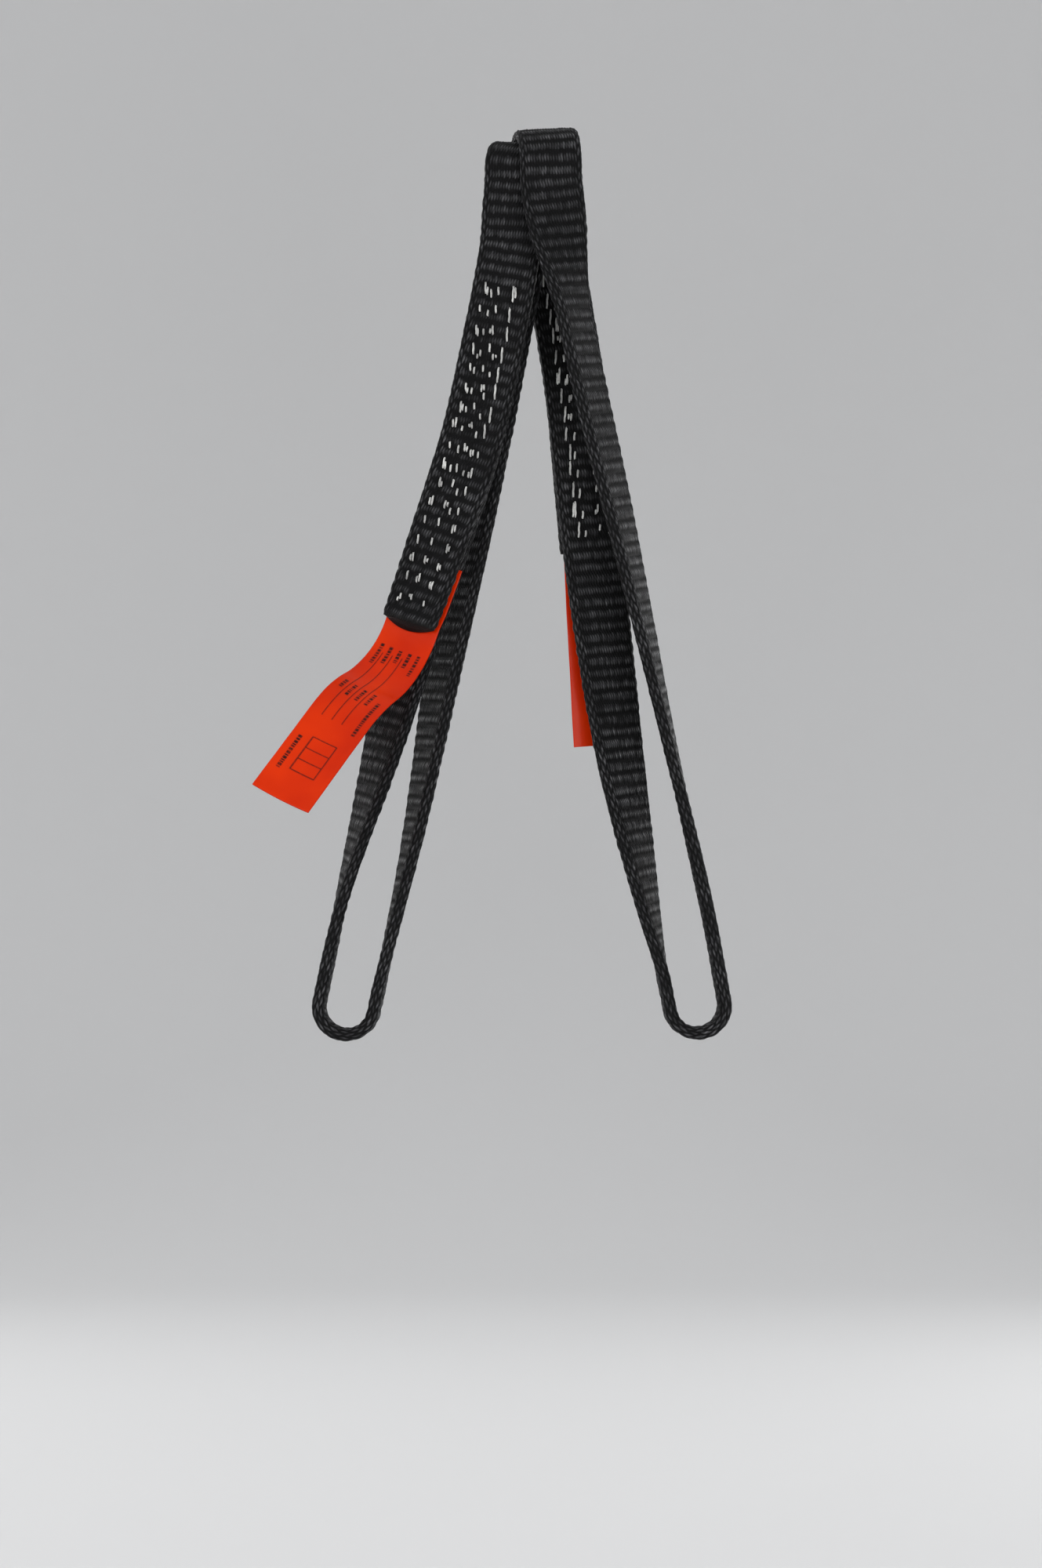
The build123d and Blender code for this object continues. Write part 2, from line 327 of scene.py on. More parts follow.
class Band:
    """The whole length of one sling's webbing, sampled evenly from its outer to its inner end."""

    def __init__(self, sling, spliced, plain, lap):
        self.sling = sling
        lap_top, lap_bottom = (spliced.share_at(z) for z in lap)
        up = np.linspace(lap_bottom, 0, LAP_SAMPLES)
        down = np.linspace(0, 1, LEG_SAMPLES)
        back = np.linspace(1, lap_top, LEG_SAMPLES)
        runs = [
            spliced.line(up),
            sling.seat_line(spliced.side),
            plain.line(down),
            sling.eye_line(plain.eye_side),
            spliced.line(back, spliced.inner_offset),
        ]
        places, widths = (np.concatenate([run[i] for run in runs]) for i in (0, 1))
        lengths = run_of(places)
        starts = np.cumsum([0] + [len(run[0]) for run in runs])
        self.total = lengths[-1]
        self.at = np.arange(0, self.total, STEP)
        self.places = read_at(self.at, lengths, places)
        self.along = unit(np.gradient(self.places, axis=0))
        self.widths = square_to(read_at(self.at, lengths, widths), self.along)
        self.outs = np.cross(self.widths, self.along) * -spliced.side
        self.lap = np.interp(-lap_top, -up, lengths[starts[0] : starts[1]])
        self.plain_seam = np.interp(SEAM_SHARE, down, lengths[starts[2] : starts[3]])
        self.inner_seam = np.interp(-SEAM_SHARE, -back, lengths[starts[4] : starts[5]])

    def frame_at(self, at):
        """Position, along, width and outward directions at lengths along the band."""
        parts = (self.places, self.along, self.widths, self.outs)
        return [read_at(at, self.at, part) for part in parts]


# The twist of each leg in degrees turns the band's width from X at the hook to Y at the eye
LEFT = Sling("left", -1, HOOK_RADIUS, skew=4.2, shift=1.4, roll=0.0)
RIGHT = Sling("right", 1, HOOK_RADIUS + BAND_THICKNESS + PLY_GAP, skew=-2.6, shift=-1.0, roll=2.5)
LEFT_FRONT = Leg(
    LEFT,
    False,
    [
        (-8.2, -11.9, -20.0),
        (-11.8, -11.4, -42.0),
        (-16.0, -11.0, -64.0),
        (-26.2, -10.0, -110.0),
        (-40.6, -8.6, -154.0),
        (-52.8, -6.8, -190.0),
        (-67.6, -4.2, -240.0),
        (-82.0, -1.9, -290.0),
    ],
    lambda share: -90 * np.sin(math.pi / 2 * ramp(0.15, 0.96, share) ** 2.3),
    True,
)
LEFT_REAR = Leg(
    LEFT,
    True,
    [
        (-5.6, 11.6, -7.0),
        (-6.4, 9.6, -22.0),
        (-14.2, 8.8, -67.0),
        (-25.9, 7.6, -136.0),
        (-37.9, 5.4, -204.0),
        (-50.0, 2.8, -272.0),
    ],
    lambda share: -90 * (1 - (1 - ramp(0.05, 0.97, share)) ** 1.15),
    False,
)
RIGHT_FRONT = Leg(
    RIGHT,
    False,
    [
        (9.3, -17.6, -25.0),
        (18.6, -15.0, -72.0),
        (35.6, -10.8, -146.0),
        (55.2, -5.7, -235.0),
        (70.0, -2.0, -300.0),
    ],
    lambda share: 60 * smooth(0.0, 0.18, share) + 30 * smooth(0.2, 0.9, share),
    False,
)
RIGHT_REAR = Leg(
    RIGHT,
    True,
    [
        (7.0, 21.3, -20.0),
        (10.6, 20.0, -45.0),
        (17.0, 15.9, -87.0),
        (21.4, 11.8, -136.0),
        (26.6, 8.2, -193.0),
        (32.4, 5.1, -245.0),
        (41.4, 2.2, -300.0),
    ],
    lambda share: 90 * ramp(0.2, 0.96, share) ** 1.8,
    True,
)

# Top and bottom of each splice
LAPS = {"left": (-38.0, -184.0), "right": (-20.0, -153.0)}

# Thread rows: place across the band, stitch length, shift of the row towards its lower end, share
# of double stitches, the share of the splice, from the top, where the stitches nearly join up, and
# the shares from the bottom between which the row shows. Elsewhere it has sunk into the webbing
ROWS = {
    "left": [
        (-7.1, 4.6, 0.0, 0.65, 0.0, (0.0, 1.0)),
        (-4.2, 3.6, 1.6, 0.15, 0.0, (0.42, 1.0)),
        (-1.3, 4.0, -0.6, 0.3, 0.0, (0.0, 0.95)),
        (1.6, 3.2, 2.2, 0.1, 0.0, (0.3, 0.8)),
        (4.8, 4.4, 0.6, 0.6, 0.5, (0.0, 1.0)),
    ],
    "right": [
        (-5.9, 4.8, 0.0, 0.5, 1.0, (0.0, 1.0)),
        (-3.0, 4.4, 1.8, 0.25, 0.3, (0.0, 1.0)),
        (-0.6, 3.0, -0.8, 0.1, 0.0, (0.5, 1.0)),
        (3.7, 3.8, 0.9, 0.3, 0.0, (0.0, 0.8)),
        (7.4, 3.0, 2.0, 0.1, 0.0, (0.0, 0.6)),
    ],
}
JOINED_LENGTH = 8.4

# Each tag's bends past the splice, as (radius, degrees, outward if positive), then a straight end.
# It also turns a little about its own length, and leans a little to one side
TAG_BENDS = {"left": ([(35.0, 58.5), (58.0, -22.5)], 46.0), "right": ([(50.0, 8.0)], 72.5)}
TAG_TURNS = {"left": -17.0, "right": 0.0}
TAG_LEANS = {"left": 2.0, "right": 0.0}


# ---------------------------------------------------------------- meshes


def lid(count):
    """Quads, as places round a ring, that close a ring with an even count of points."""
    return np.array([(k, k + 1, count - 2 - k, count - 1 - k) for k in range(count // 2 - 1)])


def walls(rings):
    """Point numbers of equal rings, and the quads between one ring and the next."""
    rows, around = rings.shape[:2]
    index = np.arange(rows * around).reshape(rows, around)
    ahead = np.roll(index, -1, axis=1)
    return index, np.stack([index[:-1], ahead[:-1], ahead[1:], index[1:]], -1).reshape(-1, 4)


def swept(rings):
    """Vertices and quads of a closed strip through equal rings of points."""
    index, quads = walls(rings)
    ends = lid(rings.shape[1])
    return rings.reshape(-1, 3), np.concatenate([quads, index[0][ends][:, ::-1], index[-1][ends]])


def ring_points(places, widths, outs, x, y):
    """Rings of points round a line, set off from it across and outward."""
    return places + widths[:, None, :] * x[:, :, None] + outs[:, None, :] * y[:, :, None]


def mesh_object(name, vertices, faces, material, values=None, uv=None):
    """A smooth-shaded mesh object from points in millimetres, with named values on its points."""
    mesh = bpy.data.meshes.new(name)
    mesh.vertices.add(len(vertices))
    mesh.vertices.foreach_set("co", (np.asarray(vertices) * MM).astype(np.float32).ravel())
    mesh.loops.add(faces.size)
    mesh.loops.foreach_set("vertex_index", faces.astype(np.int32).ravel())
    mesh.polygons.add(len(faces))
    mesh.polygons.foreach_set("loop_start", np.arange(0, faces.size, 4, dtype=np.int32))
    mesh.update(calc_edges=True)
    mesh.validate()
    if uv is not None:
        corners = uv[faces.ravel()].astype(np.float32).ravel()
        mesh.uv_layers.new(name="Weave").data.foreach_set("uv", corners)
    for key, value in (values or {}).items():
        attribute = mesh.attributes.new(key, "FLOAT", "POINT")
        attribute.data.foreach_set("value", value.astype(np.float32))
    work = bmesh.new()
    work.from_mesh(mesh)
    bmesh.ops.recalc_face_normals(work, faces=work.faces)
    work.to_mesh(mesh)
    work.free()
    mesh.polygons.foreach_set("use_smooth", np.ones(len(mesh.polygons), bool))
    mesh.materials.append(material)
    mesh.update()
    piece = bpy.data.objects.new(name, mesh)
    bpy.context.scene.collection.objects.link(piece)
    return piece


def band_profile():
    """The webbing's section, once round from the start of its outer face, as rows of (across, out,
    normal across, normal out, column, place in column, is a grain)."""
    flat = MESH_HALF_WIDTH - CORNER_RADIUS
    yarn_width = 2 * (flat - FACE_GRAINS * GRAIN_WIDTH) / YARN_COLUMNS
    grains = [(GRAIN_WIDTH, 1)] * FACE_GRAINS
    face_columns = grains + [(yarn_width, 0)] * YARN_COLUMNS + grains
    wall = 2 * (MESH_HALF_THICKNESS - CORNER_RADIUS)
    arc = CORNER_RADIUS * math.pi / 2
    edge_columns = [((2 * arc + wall) / EDGE_GRAINS, 1)] * EDGE_GRAINS
    rows = []
    for face in (1, -1):
        run = 0.0
        for column, (width, grain) in enumerate(face_columns + edge_columns):
            samples = GRAIN_SAMPLES if grain else YARN_SAMPLES
            for i in range(samples):
                place = run + width * i / samples
                turn = 0.0
                across, out = place - flat, MESH_HALF_THICKNESS
                if place > 2 * flat:
                    edge = place - 2 * flat
                    turn = min(edge, arc) / CORNER_RADIUS
                    turn += max(edge - arc - wall, 0) / CORNER_RADIUS
                    drop = min(max(edge - arc, 0), wall)
                    across = flat + CORNER_RADIUS * math.sin(turn)
                    out = MESH_HALF_THICKNESS - CORNER_RADIUS - drop
                    out += CORNER_RADIUS * math.cos(turn)
                normal = (face * math.sin(turn), face * math.cos(turn))
                rows.append((face * across, face * out, *normal, column, i / samples, grain))
            run += width
    return np.array(rows)


PROFILE = band_profile()
COLUMN_JITTER = random.uniform(-0.05, 0.05, 64)
YARN_LEVELS = random.uniform(0.62, 1.12, 997)


def wander(at, scale, seed):
    """Random wander from -1 to 1 along the band."""
    count = 1200
    knots = np.random.default_rng(seed).uniform(-1, 1, count)
    place = at / scale
    coarse = np.interp(place, np.arange(count), knots)
    fine = np.interp(2.7 * place, np.arange(count), knots[::-1])
    return 0.6 * coarse + 0.4 * fine


def relief_and_shade(at, seed):
    """How far each point of the section stands out at each length along the band, in millimetres
    and as a share from groove to crown, which paints a highlight on the crowns and shade in the
    grooves."""
    column, yarn, grain = PROFILE[:, 4], PROFILE[:, 5], PROFILE[:, 6] > 0
    odd = column % 2
    bow = RIB_BOW * (1 - (PROFILE[:, 0] / MESH_HALF_WIDTH) ** 2)
    slant = np.where(odd > 0, GRAIN_SLANT, -GRAIN_SLANT) * (yarn - 0.5) + 0.5 * odd
    shift = np.where(grain, slant, COLUMN_JITTER[column.astype(int)] + bow)
    drift = RIB_WANDER * wander(at, RIB_WANDER_LENGTH, seed)
    place = ((at + drift) / RIB_PITCH)[:, None] + shift[None, :]
    swing = np.abs(2 * (place % 1) - 1)
    crown = 1 - swing ** np.where(grain, GRAIN_POWER, RIB_POWER)[None, :]
    key = place.astype(int) * RIB_KEY + column.astype(int)[None, :] * COLUMN_KEY + SEED_KEY * seed
    crown = crown * YARN_LEVELS[key % len(YARN_LEVELS)]
    across = (1 - (2 * yarn - 1) ** 2)[None, :]
    level = 1 + DEPTH_WANDER * wander(at, DEPTH_WANDER_LENGTH, seed + 1)[:, None]
    grains = GRAIN_DEPTH * crown * (0.25 + 0.75 * across) + GRAIN_SWELL * across
    ribs = RIB_DEPTH * level * crown + YARN_DEPTH * across
    height = RELIEF_BASE + np.where(grain[None, :], grains, ribs)
    # Painted highlight: the middle of each yarn and grain is painted lighter, so with the crown
    # this share also gives painted shade in the grooves
    lit = np.where(grain[None, :], 0.3 + 0.7 * across, 0.45 + 0.55 * across)
    return height, crown * lit


def webbing(name, band, start, end, seed, material, sewn=(), sealed=None):
    """A stretch of webbing between two lengths along the band. Sewn lists the (at, across, face) of
    its stitches, which pull the surface in and paint shade into the dimples, and sealed says which
    end is cut."""
    inside = (band.at > start + STEP * 0.3) & (band.at < end - STEP * 0.3)
    at = np.concatenate([[start], band.at[inside], [end]])
    places, along, widths, outs = band.frame_at(at)
    height, share = relief_and_shade(at, seed)
    for stitch_at, across, face in sewn:
        rows = np.abs(at - stitch_at) < DIMPLE_REACH * DIMPLE_LENGTH
        near = np.exp(-(((at[rows] - stitch_at) / DIMPLE_LENGTH) ** 2))[:, None]
        near = near * np.exp(-(((PROFILE[:, 0] - across) / DIMPLE_WIDTH) ** 2))
        near = near * (PROFILE[:, 3] * face > 0.5)
        height[rows] -= DIMPLE_DEPTH * near
        # Painted shade: the stitch dimples get less of the painted crown highlight
        share[rows] *= 1 - 0.6 * near
    ends = {"start": at - start, "end": end - at}
    seal = 1 - smooth(0, SEAL_LENGTH, ends[sealed]) if sealed else np.zeros(len(at))
    height = height * (1 - SEALED_RELIEF * seal)[:, None]
    swell = 1 + MIDDLE_SWELL * (1 - (PROFILE[:, 0] / MESH_HALF_WIDTH) ** 2)
    across = PROFILE[None, :, 0] + PROFILE[None, :, 2] * height
    across = across * (1 + WIDTH_WANDER * wander(at, WIDTH_WANDER_LENGTH, seed + 2))[:, None]
    out = PROFILE[None, :, 1] * swell + PROFILE[None, :, 3] * height
    if sealed == "start":
        bulge = 1 - (across / MESH_HALF_WIDTH) ** 2
        curl = np.clip(1 - (at - start) / CURL_LENGTH, 0, 1)[:, None] ** 2
        slide = -BEVEL * seal[:, None] * bulge * (MESH_HALF_THICKNESS - out)
        out = out * (1 - 0.35 * seal[:, None] * (1 - bulge))
        out = out + CURL_LIFT * curl * (0.35 + 0.65 * bulge)
        places = places[:, None, :] + along[:, None, :] * slide[:, :, None]
    else:
        out = out * (1 - 0.15 * seal)[:, None]
        places = places[:, None, :]
    vertices, faces = swept(ring_points(places, widths, outs, across, out))
    girth = run_of(PROFILE[:, :2])
    uv = np.broadcast_arrays(girth[None, :] / UV_UNIT, at[:, None] / UV_UNIT)
    # The first value paints a highlight on the crowns and shade in the grooves
    values = {"relief_and_shade": share.ravel(), "seal": np.repeat(seal, len(PROFILE))}
    return mesh_object(name, vertices, faces, material, values, np.stack(uv, -1).reshape(-1, 2))


# ---------------------------------------------------------------- thread


def stitch_places(name, lap, seed):
    """Each thread row of a splice, as (length along the lap, place across, stitch length) lists."""
    draw = np.random.default_rng(seed)
    rows = []
    for across, length, shift, doubled, joined, shown in ROWS[name]:
        row = []
        for i in range(int((lap - 2 * ROW_MARGIN) // STITCH_PITCH)):
            at = ROW_MARGIN + STITCH_PITCH * (i + 0.5) - shift + draw.normal(0, STITCH_JITTER)
            side = across + draw.normal(0, ROW_JITTER)
            near_top = at > lap * (1 - joined)
            if not shown[0] <= at / lap <= shown[1]:
                continue
            size = JOINED_LENGTH if near_top else length * draw.uniform(0.75, 1.2)
            row.append((at, side, size))
            if draw.random() < doubled * (0.35 if near_top else 1):
                away = draw.choice([-1, 1]) * draw.uniform(0.8, 1.1)
                beside = at - draw.uniform(-0.6, 1.6)
                row.append((beside, side + away, size * draw.uniform(0.5, 0.85)))
        rows.append(row)
    return rows


def thread_row(name, band, faces_of_row, material, seed):
    """Twisted three-strand stitches on the webbing, from a list of (at, across, length, face)."""
    draw = np.random.default_rng(seed)
    turn = np.arange(STRAND_SIDES) * 2 * math.pi / STRAND_SIDES
    points, quads, count = [], [], 0
    for at, across, length, face in faces_of_row:
        t = np.linspace(0, 1, max(STRAND_STEPS, int(length / STRAND_CELL)))
        lengths = at + length * (t - 0.5)
        places, _, widths, outs = band.frame_at(lengths)
        arch = 1 - np.abs(2 * t - 1) ** 4
        rise = face * (MESH_HALF_THICKNESS - STITCH_DIVE + (STITCH_DIVE + STITCH_RISE) * arch)
        slant = STITCH_SLANT + draw.uniform(-STRAND_JITTER, STRAND_JITTER)
        lean = -slant * face * length * (t - 0.5)
        start = draw.uniform(0, 2 * math.pi)
        for strand in range(STRANDS):
            slip = draw.uniform(-STRAND_JITTER, STRAND_JITTER) * length
            angle = start + strand * 2 * math.pi / STRANDS + 2 * math.pi * lengths / STRAND_TWIST
            spread = STRAND_OFFSET * (0.35 + 0.65 * arch)
            x = across + lean + spread * np.cos(angle) + 0.25 * slip * (t - 0.5)
            y = rise + STRAND_OFFSET * STRAND_FLATNESS * np.sin(angle)
            size = STRAND_RADIUS * (0.4 + 0.6 * arch)
            x = x[:, None] + size[:, None] * np.cos(turn)
            y = y[:, None] + size[:, None] * np.sin(turn)
            vertices, faces = swept(ring_points(places[:, None, :], widths, outs, x, y))
            points.append(vertices)
            quads.append(faces + count)
            count += len(vertices)
    return mesh_object(name, np.concatenate(points), np.concatenate(quads), material)


# ---------------------------------------------------------------- tag


def printing(along, across):
    """Ink from 0 to 1 on a tag, at lengths down from the splice and across from the middle. It has
    ruled lines, rows of plain dashes and a plain box, and no lettering."""
    draw = np.random.default_rng(41)
    ink = np.zeros(np.broadcast(along, across).shape)

    def block(top, bottom, left, right):
        edge = TAG_CELL / 2
        inside = smooth(top - edge, top + edge, along)
        inside = inside * (1 - smooth(bottom - edge, bottom + edge, along))
        inside = inside * smooth(left - edge, left + edge, across)
        inside = inside * (1 - smooth(right - edge, right + edge, across))
        np.maximum(ink, inside, out=ink)

    def dashes(top, bottom, middle, height):
        place = top
        while place < bottom:
            size = draw.uniform(0.5, 1.5)
            block(place, min(place + size, bottom), middle - height / 2, middle + height / 2)
            place += size + draw.uniform(0.3, 0.5)

    for rule in RULES:
        block(*RULE_SPAN, rule - RULE_HALF, rule + RULE_HALF)
    for row in DASH_ROWS:
        dashes(*row)
    for side in BOX_SIDES:
        block(BOX_BARS[0], BOX_BARS[-1], side - BOX_HALF, side + BOX_HALF)
    left, right = BOX_SIDES[0] - BOX_MARGIN, BOX_SIDES[1] + BOX_MARGIN
    for bar in BOX_BARS:
        block(bar - BOX_HALF, bar + BOX_HALF, left, right)
    return ink


def tag_line(sling, spliced, lap_bottom):
    """The tag's line from its sewn-in end to its free end: lengths measured from the splice's end,
    places, and width and outward directions."""
    end = spliced.share_at(lap_bottom)
    tab = TAG_SEWN[sling.name]
    sewn = np.linspace(end - tab / -spliced.stations[-1][2], end, TAG_SEWN_SAMPLES)
    places, widths = spliced.line(sewn, BAND_THICKNESS / 2)
    width = widths[-1]
    down = unit(places[-1] - places[-3])
    outward = np.cross(down, width) * -spliced.side
    lifted = smooth(-TAG_LIFT_LENGTH, 0, np.linspace(-tab, 0, TAG_SEWN_SAMPLES))
    places = places + TAG_LIFT * lifted[:, None] * outward
    bends, tail = TAG_BENDS[sling.name]
    turns = [
        (radius * math.radians(abs(turn)), math.copysign(1 / radius, turn))
        for radius, turn in bends
    ]
    s = np.linspace(0, sum(length for length, _ in turns) + tail, TAG_FREE_SAMPLES)
    curvature = np.zeros_like(s)
    start = 0.0
    for length, bend in turns:
        curvature[(s >= start) & (s < start + length)] = bend
        start += length
    heading = np.cumsum(curvature) * s[1]
    x, y = (np.cumsum(part(heading))[:, None] * s[1] for part in (np.cos, np.sin))
    free = places[-1] + down * TAG_START_GAP + x * down + y * outward
    eased = smooth(0, TAG_TURN_LENGTH, s)[:, None]
    turn = math.radians(TAG_TURNS[sling.name]) * eased
    face = np.cos(heading)[:, None] * outward - np.sin(heading)[:, None] * down
    across = np.cos(turn) * width + np.sin(turn) * face
    lean = np.sin(math.radians(TAG_LEANS[sling.name]) * eased)
    places = np.concatenate([places, free + np.cumsum(lean * across, axis=0) * s[1]])
    widths = np.concatenate([widths, across])
    lengths = run_of(places)
    at = np.arange(0, lengths[-1], TAG_CELL)
    places, widths = (read_at(at, lengths, part) for part in (places, widths))
    along = unit(np.gradient(places, axis=0))
    widths = square_to(widths, along)
    outs = np.cross(along, widths) * -spliced.side
    return at - tab, places, widths, outs


def tag_sheet(name, sling, spliced, lap_bottom, material, seed):
    """A tag, its length, and the points on its line at the splice's end and a little past it."""
    at, places, widths, outs = tag_line(sling, spliced, lap_bottom)
    columns = round(TAG_WIDTH / TAG_CELL)
    across = np.linspace(-TAG_WIDTH / 2, TAG_WIDTH / 2, columns)
    free = smooth(2, 30, at)[:, None]
    side = across / (TAG_WIDTH / 2)
    cup = TAG_CUP * free * side**2
    ripple = TAG_RIPPLE * free * wander(at, TAG_RIPPLE_LENGTH, seed)[:, None] * side
    out = cup + ripple
    shift = np.interp(at, (0, at[-1]), TAG_SHIFT[sling.name])[:, None]
    x = np.concatenate([across, across[::-1]])[None, :] + shift
    y = np.concatenate([out + TAG_THICKNESS / 2, (out - TAG_THICKNESS / 2)[:, ::-1]], axis=1)
    vertices, faces = swept(ring_points(places[:, None, :], widths, outs, x, y))
    ink = printing(at[:, None], across[None, :])
    ink = np.concatenate([ink, np.zeros_like(ink)], axis=1)
    piece = mesh_object(name, vertices, faces, material, {"ink": ink.ravel()})
    start, end = (places[np.searchsorted(at, place)] for place in (0, TAG_BLEND))
    return piece, at[-1] - at[0], start, end


# ---------------------------------------------------------------- materials


class Shader:
    """A material and its node tree, with short calls to add and join nodes."""

    def __init__(self, name, **settings):
        self.material = bpy.data.materials.new(name)
        self.material.use_nodes = True
        self.tree = self.material.node_tree
        self.surface = self.tree.nodes["Principled BSDF"]
        for key, value in settings.items():
            self.surface.inputs[key.replace("_", " ")].default_value = value

    def node(self, kind, settings=None, **inputs):
        """A node with its settings and its inputs. An input is a value or a socket to join, and is
        named, or given as i and its number."""
        made = self.tree.nodes.new(f"ShaderNode{kind}")
        for key, value in (settings or {}).items():
            setattr(made, key, value)
        for key, value in inputs.items():
            numbered = key[0] == "i" and key[1:].isdigit()
            self.give(made.inputs[int(key[1:]) if numbered else key], value)
        return made

    def give(self, socket, value):
        if isinstance(value, bpy.types.NodeSocket):
            self.tree.links.new(value, socket)
        else:
            socket.default_value = value

    def value(self, name):
        return self.node("Attribute", {"attribute_name": name}).outputs["Fac"]

    def blend(self, factor, low, high, mode="MIX"):
        """A colour between two colours."""
        mix = self.node("Mix", {"data_type": "RGBA", "blend_type": mode})
        for name, value in (("Factor", factor), ("A", low), ("B", high)):
            socket = next(s for s in mix.inputs if s.name == name and s.enabled)
            self.give(socket, value)
        return next(s for s in mix.outputs if s.enabled)

    def range(self, value, low, high, start=0.0, end=1.0):
        """A value spread from one range to another."""
        node = self.node("MapRange", None, i0=value, i1=start, i2=end, i3=low, i4=high)
        return node.outputs[0]

    def noise(self, vector, scale, detail=2.0):
        node = self.node("TexNoise", None, Vector=vector, Scale=scale, Detail=detail)
        return node.outputs["Fac"]

    def multiply(self, first, second):
        return self.node("Math", {"operation": "MULTIPLY"}, i0=first, i1=second).outputs[0]

    def bump(self, height, strength, distance, normal=None):
        node = self.node("Bump", None, Height=height, Strength=strength, Distance=distance)
        if normal is not None:
            self.give(node.inputs["Normal"], normal)
        return node.outputs["Normal"]

    def finish(self, **joins):
        for key, value in joins.items():
            self.give(self.surface.inputs[key.replace("_", " ")], value)
        return self.material


def webbing_material():
    """Black nylon, with a painted highlight in slanted streaks on the ribs' crowns, painted shade
    in the grooves, and fibres all over.
    """
    shader = Shader(
        "woven_black_webbing", Sheen_Weight=0.02, Sheen_Roughness=0.35, Specular_IOR_Level=0.16
    )
    place = shader.node("TexCoord").outputs["Object"]
    weave = shader.node("UVMap", {"uv_map": "Weave"}).outputs["UV"]
    turned = shader.node("Mapping", None, Vector=weave, Rotation=(0, 0, YARN_SLANT))
    slanted = turned.outputs["Vector"]
    wave = dict(Scale=YARN_SCALE, Distortion=0.9, Detail=1.0)
    # The slanted bands paint highlight streaks on the crowns and also give bumps
    yarn_highlight_and_bump = shader.node("TexWave", None, Vector=slanted, **wave).outputs["Fac"]
    stretched = shader.node("Mapping", None, Vector=slanted, Scale=(900.0, 90.0, 1.0))
    streaks = stretched.outputs["Vector"]
    fibres = shader.noise(streaks, 1.0, 3.0)
    mottle = shader.noise(place, 420.0, 3.0)
    patches = shader.noise(place, 38.0, 2.0)
    # Painted light: a painted highlight on the crowns and painted shade in the grooves, mixed from
    # the point values and the slanted bands
    relief_and_shade = shader.value("relief_and_shade")
    crown = shader.range(relief_and_shade, 0.0, 1.0, 0.35, 0.95)
    yarn = shader.range(yarn_highlight_and_bump, 0.45, 1.0, 0.2, 0.85)
    lit = shader.multiply(crown, yarn)
    lit_crown_colour = shader.blend(shader.range(patches, 0.0, 1.0, 0.35, 0.65), *LIT_CROWNS)
    colour = shader.blend(lit, SHADED_GROOVE, lit_crown_colour)
    fleck = shader.blend(shader.range(mottle, 0.0, 1.0, 0.3, 0.7), *FLECKS)
    colour = shader.blend(1.0, colour, fleck, "MULTIPLY")
    colour = shader.blend(shader.value("seal"), colour, SEALED)
    rough = shader.range(lit, 0.8, 0.42)
    threads = shader.node("Math", {"operation": "MULTIPLY_ADD"}, i0=fibres, i1=0.35, i2=yarn_highlight_and_bump)
    normal = shader.bump(threads.outputs[0], 0.55, 0.00025)
    return shader.finish(Base_Color=colour, Roughness=rough, Normal=normal)


def thread_material():
    """White thread, soiled in patches and fibrous."""
    shader = Shader("twisted_thread", Sheen_Weight=0.2, Sheen_Roughness=0.5)
    place = shader.node("TexCoord").outputs["Object"]
    soil = shader.noise(place, 160.0, 3.0)
    fibre = shader.noise(place, 2600.0, 2.0)
    colour = shader.blend(shader.range(soil, 0.0, 1.0, 0.3, 0.7), *THREADS)
    rough = shader.range(fibre, 0.45, 0.7)
    normal = shader.bump(fibre, 0.5, 0.0001)
    return shader.finish(Base_Color=colour, Roughness=rough, Normal=normal)


def tag_material():
    """Orange-red vinyl, slightly uneven, with worn dark ink."""
    shader = Shader("printed_vinyl", Coat_Weight=0.06, Coat_Roughness=0.12, Specular_IOR_Level=0.06)
    place = shader.node("TexCoord").outputs["Object"]
    cloud = shader.noise(place, 45.0, 2.0)
    grain = shader.noise(place, 1100.0, 2.0)
    swell = shader.noise(place, 120.0, 2.0)
    vinyl = shader.blend(shader.range(cloud, 0.0, 1.0, 0.3, 0.7), *VINYLS)
    worn = shader.range(grain, 0.7, 1.0, 0.3, 0.5)
    colour = shader.blend(shader.multiply(shader.value("ink"), worn), vinyl, INK)
    rough = shader.range(grain, 0.26, 0.42)
    ripples = shader.bump(swell, 0.25, 0.0006)
    normal = shader.bump(grain, 0.25, 0.00012, ripples)
    return shader.finish(Base_Color=colour, Roughness=rough, Normal=normal)


def plain_material(name, colour, rough):
    shader = Shader(name, Roughness=rough, Specular_IOR_Level=0.2)
    tone = shader.noise(shader.node("TexCoord").outputs["Object"], 1.2, 2.0)
    low = tuple(0.97 * part for part in colour) + (1,)
    return shader.finish(Base_Color=shader.blend(tone, low, (*colour, 1)))


# ---------------------------------------------------------------- camera, stage and lights


def camera():
    lens = bpy.data.cameras.new("Camera")
    lens.sensor_width = SENSOR
    lens.lens = FOCAL_LENGTH
    lens.clip_end = CLIP_END
    view = bpy.data.objects.new("Camera", lens)
    view.location = [value * MM for value in CAMERA_AT]
    view.rotation_euler = (math.pi / 2 + CAMERA_TILT, 0, 0)
    bpy.context.scene.collection.objects.link(view)
    bpy.context.scene.camera = view


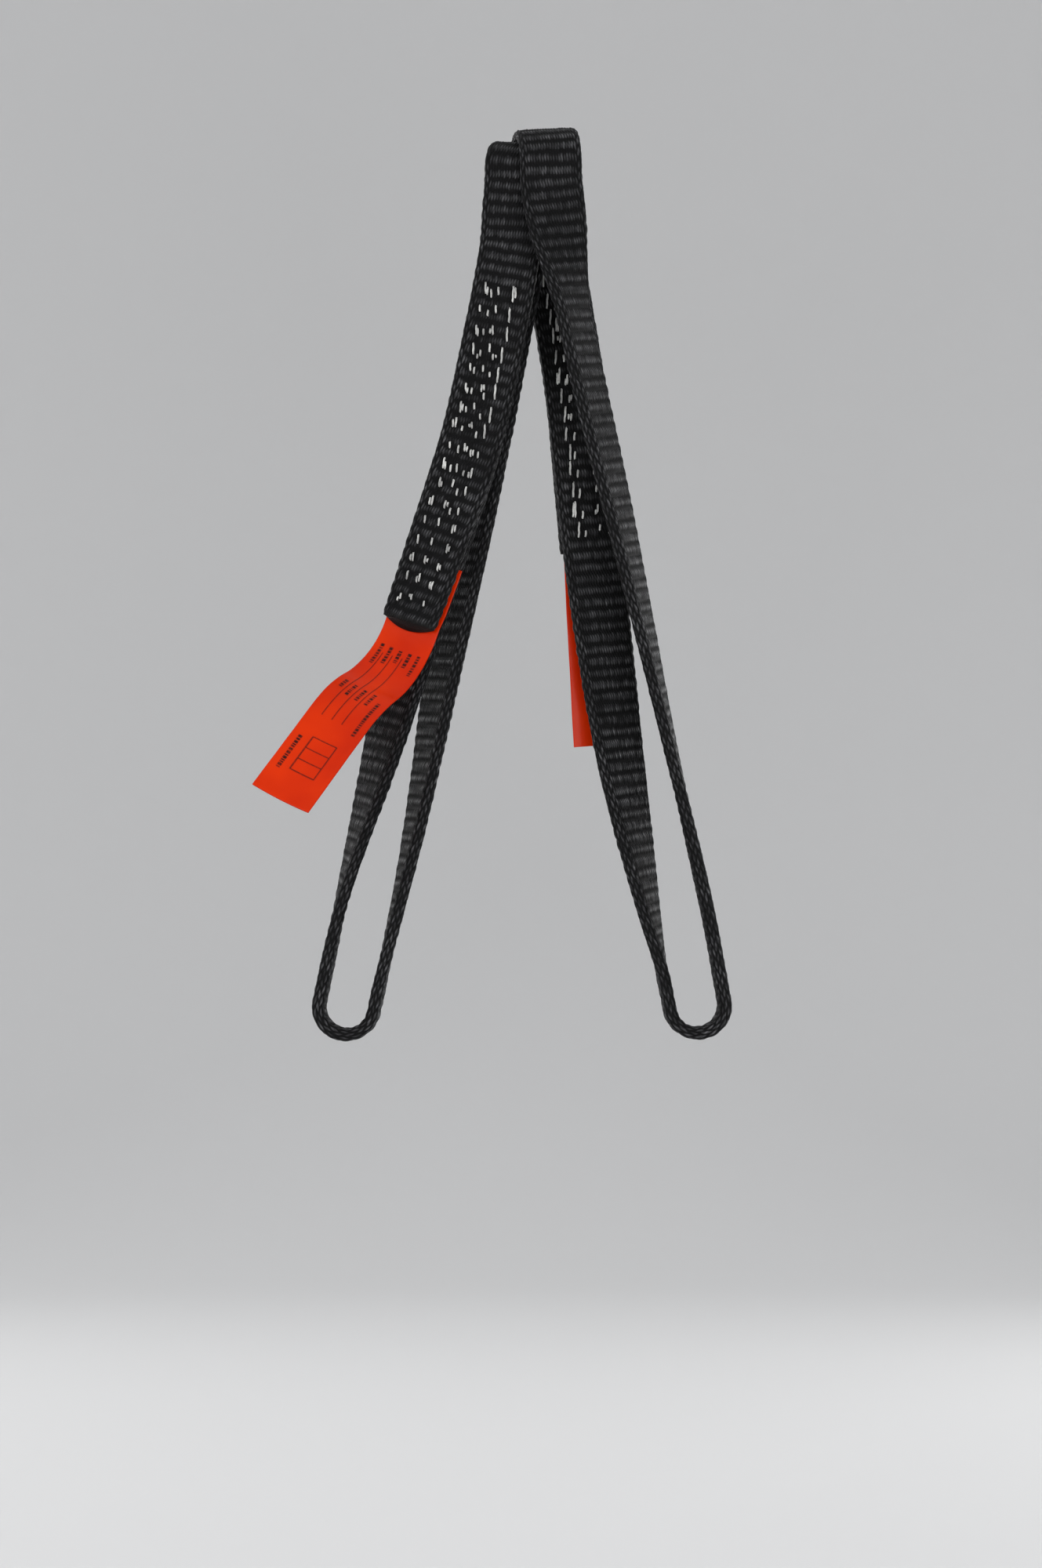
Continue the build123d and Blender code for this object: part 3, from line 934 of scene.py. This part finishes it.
def cove():
    """A round studio cove: a floor that curves up into a wall all the way round."""
    turn = np.linspace(0, math.pi / 2, COVE_BEND_SAMPLES)
    flat = [1.0, 600.0, 1200.0]
    curve = COVE_RADIUS - COVE_BEND + COVE_BEND * np.sin(turn)
    reach = np.concatenate([flat, curve, [COVE_RADIUS]])[:, None]
    rise = COVE_FLOOR + COVE_BEND * (1 - np.cos(turn))
    height = np.concatenate([[COVE_FLOOR] * len(flat), rise, [COVE_TOP]])[:, None]
    around = np.linspace(0, 2 * math.pi, COVE_SIDES, endpoint=False)
    parts = (reach * np.cos(around), reach * np.sin(around), np.repeat(height, COVE_SIDES, axis=1))
    rings = np.stack(parts, -1)
    paint = plain_material("pale_cove", COVE_COLOUR, 0.9)
    mesh_object("studio_cove", rings.reshape(-1, 3), walls(rings)[1], paint)


def soft_light(name, place, target, power, size):
    lamp_data = bpy.data.lights.new(name, "AREA")
    lamp_data.energy = power
    lamp_data.size = size
    lamp = bpy.data.objects.new(name, lamp_data)
    lamp.location = place
    lamp.rotation_euler = (Vector(target) - Vector(place)).to_track_quat("-Z", "Y").to_euler()
    lamp.visible_camera = False
    bpy.context.scene.collection.objects.link(lamp)


def lights():
    for light in LIGHTS:
        soft_light(*light)
    world = bpy.data.worlds.new("studio_air")
    world.use_nodes = True
    air = world.node_tree.nodes["Background"].inputs
    air["Color"].default_value = AIR_COLOUR
    air["Strength"].default_value = AIR_STRENGTH
    bpy.context.scene.world = world


# ---------------------------------------------------------------- the two slings


def build_sling(sling, spliced, plain, seed, cloth, thread, vinyl):
    """One sling's webbing, thread and tag, in place of its CAD nodes."""
    name = sling.name
    lap = LAPS[name]
    band = Band(sling, spliced, plain, lap)
    rows = stitch_places(name, band.lap, seed + 5)
    inner_start = band.total - band.lap
    outer_sewn = [(at, across, 1) for row in rows for at, across, _ in row]
    inner_sewn = [(inner_start + at, across, -1) for at, across, _ in outer_sewn]
    seams = (0, band.plain_seam, band.inner_seam, band.total)
    upper = webbing(f"{name}_webbing_upper", band, *seams[:2], seed, cloth, outer_sewn, "start")
    lower = webbing(f"{name}_webbing_lower", band, *seams[1:3], seed, cloth)
    inner = webbing(f"{name}_webbing_inner_ply", band, *seams[2:], seed, cloth, inner_sewn, "end")
    top_pieces = [upper, inner]
    for number, row in enumerate(rows, start=1):
        both = [(at, across, size, 1) for at, across, size in row]
        both += [(inner_start + at, across, size, -1) for at, across, size in row]
        piece = thread_row(f"{name}_thread_row_{number}", band, both, thread, seed + 10 + number)
        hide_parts(f"{name}_stitch_row_{number}")
        top_pieces.append(piece)
    joined, other = ("rear", "front") if spliced.side > 0 else ("front", "rear")
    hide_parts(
        f"{name}_hook_bight",
        f"{name}_{joined}_outer_ply",
        f"{name}_{other}_upper_leg",
        f"{name}_{other}_middle_leg",
    )
    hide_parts(f"{name}_{joined}_inner_ply", f"{name}_{joined}_middle_leg")
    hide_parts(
        f"{name}_{joined}_lower_leg",
        f"{name}_{other}_lower_leg",
        f"{name}_eye_bight",
    )

    for piece in top_pieces:
        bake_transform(piece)
    seat = np.array([sling.seat_x, 0, 0])
    start, end = (
        tuple((seat + (sling.eye - seat) * share) * MM) for share in (SEAM_SHARE, TURN_END_SHARE)
    )
    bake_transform(lower)

    made = tag_sheet(f"{name}_tag_sheet", sling, spliced, lap[1], vinyl, seed + 30)
    tag, length, start, end = made
    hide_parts(f"{name}_tag", f"{name}_tag_tab")
    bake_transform(tag)
    print(name, "band", round(band.total, 1), "lap", round(band.lap, 1), "tag", round(length, 1))


camera()
cove()
lights()
bpy.context.scene.view_settings.view_transform = "Standard"
finishes = (webbing_material(), thread_material(), tag_material())
build_sling(LEFT, LEFT_FRONT, LEFT_REAR, 100, *finishes)
build_sling(RIGHT, RIGHT_REAR, RIGHT_FRONT, 200, *finishes)
